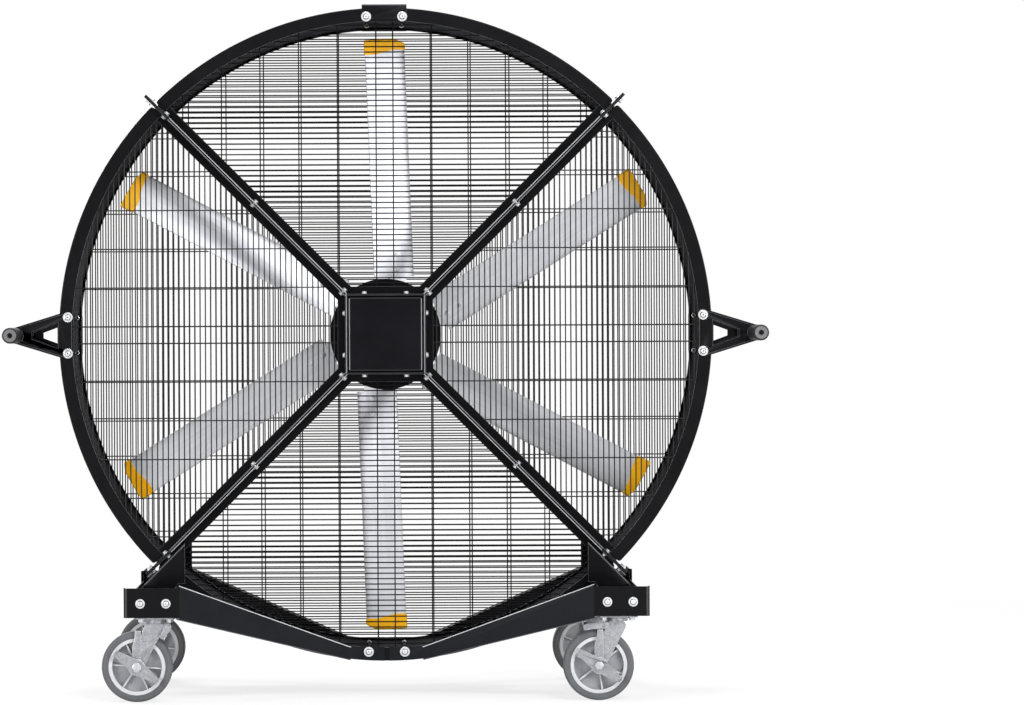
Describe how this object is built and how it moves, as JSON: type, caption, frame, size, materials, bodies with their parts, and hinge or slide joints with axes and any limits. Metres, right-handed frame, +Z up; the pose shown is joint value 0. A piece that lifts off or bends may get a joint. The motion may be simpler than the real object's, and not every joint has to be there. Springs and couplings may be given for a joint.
{
  "type": "drum fan",
  "caption": "Large direct-drive drum fan with guarded six-blade rotor, side handles and a folded steel stand on locking swivel casters.",
  "frame": {"origin": "on the floor under the hub, at the middle of the bounding box's base", "axes": "+X to the right seen from the front, along the two handles; +Y to the rear along the fan's axis of rotation; +Z up"},
  "size_m": [2.304, 0.8136, 2.106],
  "materials": {
    "black_coat": "satin black powder coat",
    "arm_coat": "satin dark grey powder coat",
    "guard_coat": "satin black powder coat on welded wire",
    "zinc": "bright zinc plate",
    "steel": "machined steel",
    "blade_aluminium": "satin anodised extrusion",
    "winglet_yellow": "orange yellow moulding",
    "grip_rubber": "black matt rubber",
    "tyre_grey": "grey rubber tread",
    "core_grey": "light grey moulded core",
    "dark_plastic": "black moulding",
    "core_iron": "laminated electrical steel",
    "copper": "enamelled copper winding",
    "magnet": "sintered magnet"
  },
  "bodies": {
    "stand": {"ring_top": "black_coat", "ring_right": "black_coat", "ring_bottom": "black_coat", "ring_left": "black_coat", "front_guards": "guard_coat", "rear_guards": "guard_coat", "tie_plates": "black_coat", "strut_bolts": "zinc", "ring_bolts": "zinc", "hub_bolts": "zinc", "base_bolts": "zinc", "caster_bolts": "zinc", "top_bracket": "black_coat", "handle_plates": "black_coat", "handle_bars": "black_coat", "handle_grips": "grip_rubber", "hub_box_front": "black_coat", "hub_box_rear": "black_coat", "hub_cover_front": "black_coat", "hub_cover_rear": "black_coat", "motor_axle": "steel", "stator_core": "core_iron", "stator_coils": "copper", "motor_bearings": "steel", "terminal_box": "dark_plastic", "cable_gland": "dark_plastic", "caster_beam_left": "black_coat", "caster_beam_right": "black_coat", "base_arms_front": "arm_coat", "base_arms_rear": "arm_coat", "gussets": "black_coat", "caster_plates": "zinc"},
    "rotor": {"rotor_can": "steel", "rotor_magnets": "magnet", "hub_plates": "black_coat", "blade_roots": "blade_aluminium", "blades": "blade_aluminium", "winglets": "winglet_yellow", "blade_bolts": "zinc"},
    "caster_front_left": {"fork_front_left": "zinc"},
    "road_wheel_front_left": {"wheel_front_left": "core_grey", "tyre_front_left": "tyre_grey"},
    "brake_front_left": {"brake_lever_front_left": "zinc"},
    "lock_front_left": {"swivel_lock_front_left": "zinc"},
    "caster_front_right": {"fork_front_right": "zinc"},
    "road_wheel_front_right": {"wheel_front_right": "core_grey", "tyre_front_right": "tyre_grey"},
    "brake_front_right": {"brake_lever_front_right": "zinc"},
    "lock_front_right": {"swivel_lock_front_right": "zinc"},
    "caster_rear_left": {"fork_rear_left": "zinc"},
    "road_wheel_rear_left": {"wheel_rear_left": "core_grey", "tyre_rear_left": "tyre_grey"},
    "brake_rear_left": {"brake_lever_rear_left": "zinc"},
    "lock_rear_left": {"swivel_lock_rear_left": "zinc"},
    "caster_rear_right": {"fork_rear_right": "zinc"},
    "road_wheel_rear_right": {"wheel_rear_right": "core_grey", "tyre_rear_right": "tyre_grey"},
    "brake_rear_right": {"brake_lever_rear_right": "zinc"},
    "lock_rear_right": {"swivel_lock_rear_right": "zinc"}
  },
  "joints": [
    {"name": "rotor_spin", "type": "hinge", "parent": "stand", "child": "rotor", "pos_m": [0, 0, 1.1], "axis": [0, 1, 0], "continuous": true},
    {"name": "swivel_front_left", "type": "hinge", "parent": "stand", "child": "caster_front_left", "pos_m": [-0.692, -0.335, 0.2371], "axis": [0, 0, 1], "continuous": true},
    {"name": "wheel_spin_front_left", "type": "hinge", "parent": "caster_front_left", "child": "road_wheel_front_left", "pos_m": [-0.749, -0.335, 0.106], "axis": [0, 1, 0], "continuous": true},
    {"name": "brake_press_front_left", "type": "hinge", "parent": "caster_front_left", "child": "brake_front_left", "pos_m": [-0.749, -0.335, 0.106], "axis": [0, -1, 0], "range_deg": [0, 18]},
    {"name": "lock_press_front_left", "type": "hinge", "parent": "caster_front_left", "child": "lock_front_left", "pos_m": [-0.655, -0.335, 0.2266], "axis": [0, -1, 0], "range_deg": [0, 25]},
    {"name": "swivel_front_right", "type": "hinge", "parent": "stand", "child": "caster_front_right", "pos_m": [0.692, -0.335, 0.2371], "axis": [0, 0, 1], "continuous": true},
    {"name": "wheel_spin_front_right", "type": "hinge", "parent": "caster_front_right", "child": "road_wheel_front_right", "pos_m": [0.635, -0.335, 0.106], "axis": [0, 1, 0], "continuous": true},
    {"name": "brake_press_front_right", "type": "hinge", "parent": "caster_front_right", "child": "brake_front_right", "pos_m": [0.635, -0.335, 0.106], "axis": [0, -1, 0], "range_deg": [0, 18]},
    {"name": "lock_press_front_right", "type": "hinge", "parent": "caster_front_right", "child": "lock_front_right", "pos_m": [0.655, -0.335, 0.2266], "axis": [0, -1, 0], "range_deg": [0, 25]},
    {"name": "swivel_rear_left", "type": "hinge", "parent": "stand", "child": "caster_rear_left", "pos_m": [-0.692, 0.335, 0.2371], "axis": [0, 0, 1], "continuous": true},
    {"name": "wheel_spin_rear_left", "type": "hinge", "parent": "caster_rear_left", "child": "road_wheel_rear_left", "pos_m": [-0.749, 0.335, 0.106], "axis": [0, 1, 0], "continuous": true},
    {"name": "brake_press_rear_left", "type": "hinge", "parent": "caster_rear_left", "child": "brake_rear_left", "pos_m": [-0.749, 0.335, 0.106], "axis": [0, -1, 0], "range_deg": [0, 18]},
    {"name": "lock_press_rear_left", "type": "hinge", "parent": "caster_rear_left", "child": "lock_rear_left", "pos_m": [-0.655, 0.335, 0.2266], "axis": [0, -1, 0], "range_deg": [0, 25]},
    {"name": "swivel_rear_right", "type": "hinge", "parent": "stand", "child": "caster_rear_right", "pos_m": [0.692, 0.335, 0.2371], "axis": [0, 0, 1], "continuous": true},
    {"name": "wheel_spin_rear_right", "type": "hinge", "parent": "caster_rear_right", "child": "road_wheel_rear_right", "pos_m": [0.635, 0.335, 0.106], "axis": [0, 1, 0], "continuous": true},
    {"name": "brake_press_rear_right", "type": "hinge", "parent": "caster_rear_right", "child": "brake_rear_right", "pos_m": [0.635, 0.335, 0.106], "axis": [0, -1, 0], "range_deg": [0, 18]},
    {"name": "lock_press_rear_right", "type": "hinge", "parent": "caster_rear_right", "child": "lock_rear_right", "pos_m": [0.655, 0.335, 0.2266], "axis": [0, -1, 0], "range_deg": [0, 25]}
  ]
}
